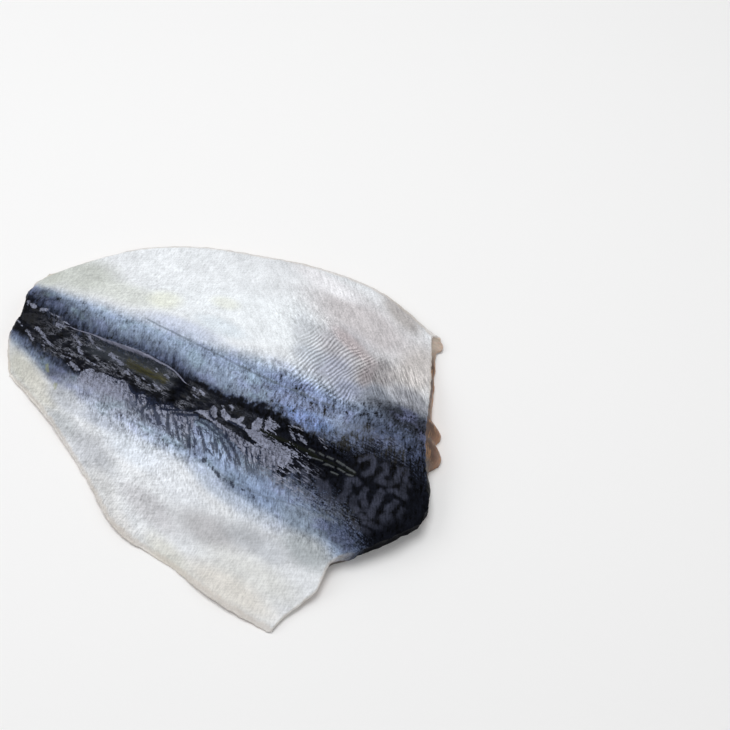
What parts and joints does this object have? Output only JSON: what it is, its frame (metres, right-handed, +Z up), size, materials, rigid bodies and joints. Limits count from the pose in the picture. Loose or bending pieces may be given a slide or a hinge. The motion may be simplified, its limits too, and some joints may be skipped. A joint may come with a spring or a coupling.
{
  "type": "butterflied mackerel",
  "caption": "Boned mackerel without head or tail, opened flat along the belly and laid skin side up, with a dark banded back and pale flanks.",
  "frame": {"origin": "under the middle of the fish's bounding box, on the surface that it lies on", "axes": "+X along the back towards the head end, +Y towards the far flank, +Z up out of the skin"},
  "size_m": [0.226, 0.1768, 0.0165],
  "materials": {
    "wet_skin": "wet, pearly pale flanks with a near-black blue back"
  },
  "bodies": {
    "root": {"butterflied_mackerel": "wet_skin"}
  },
  "joints": []
}
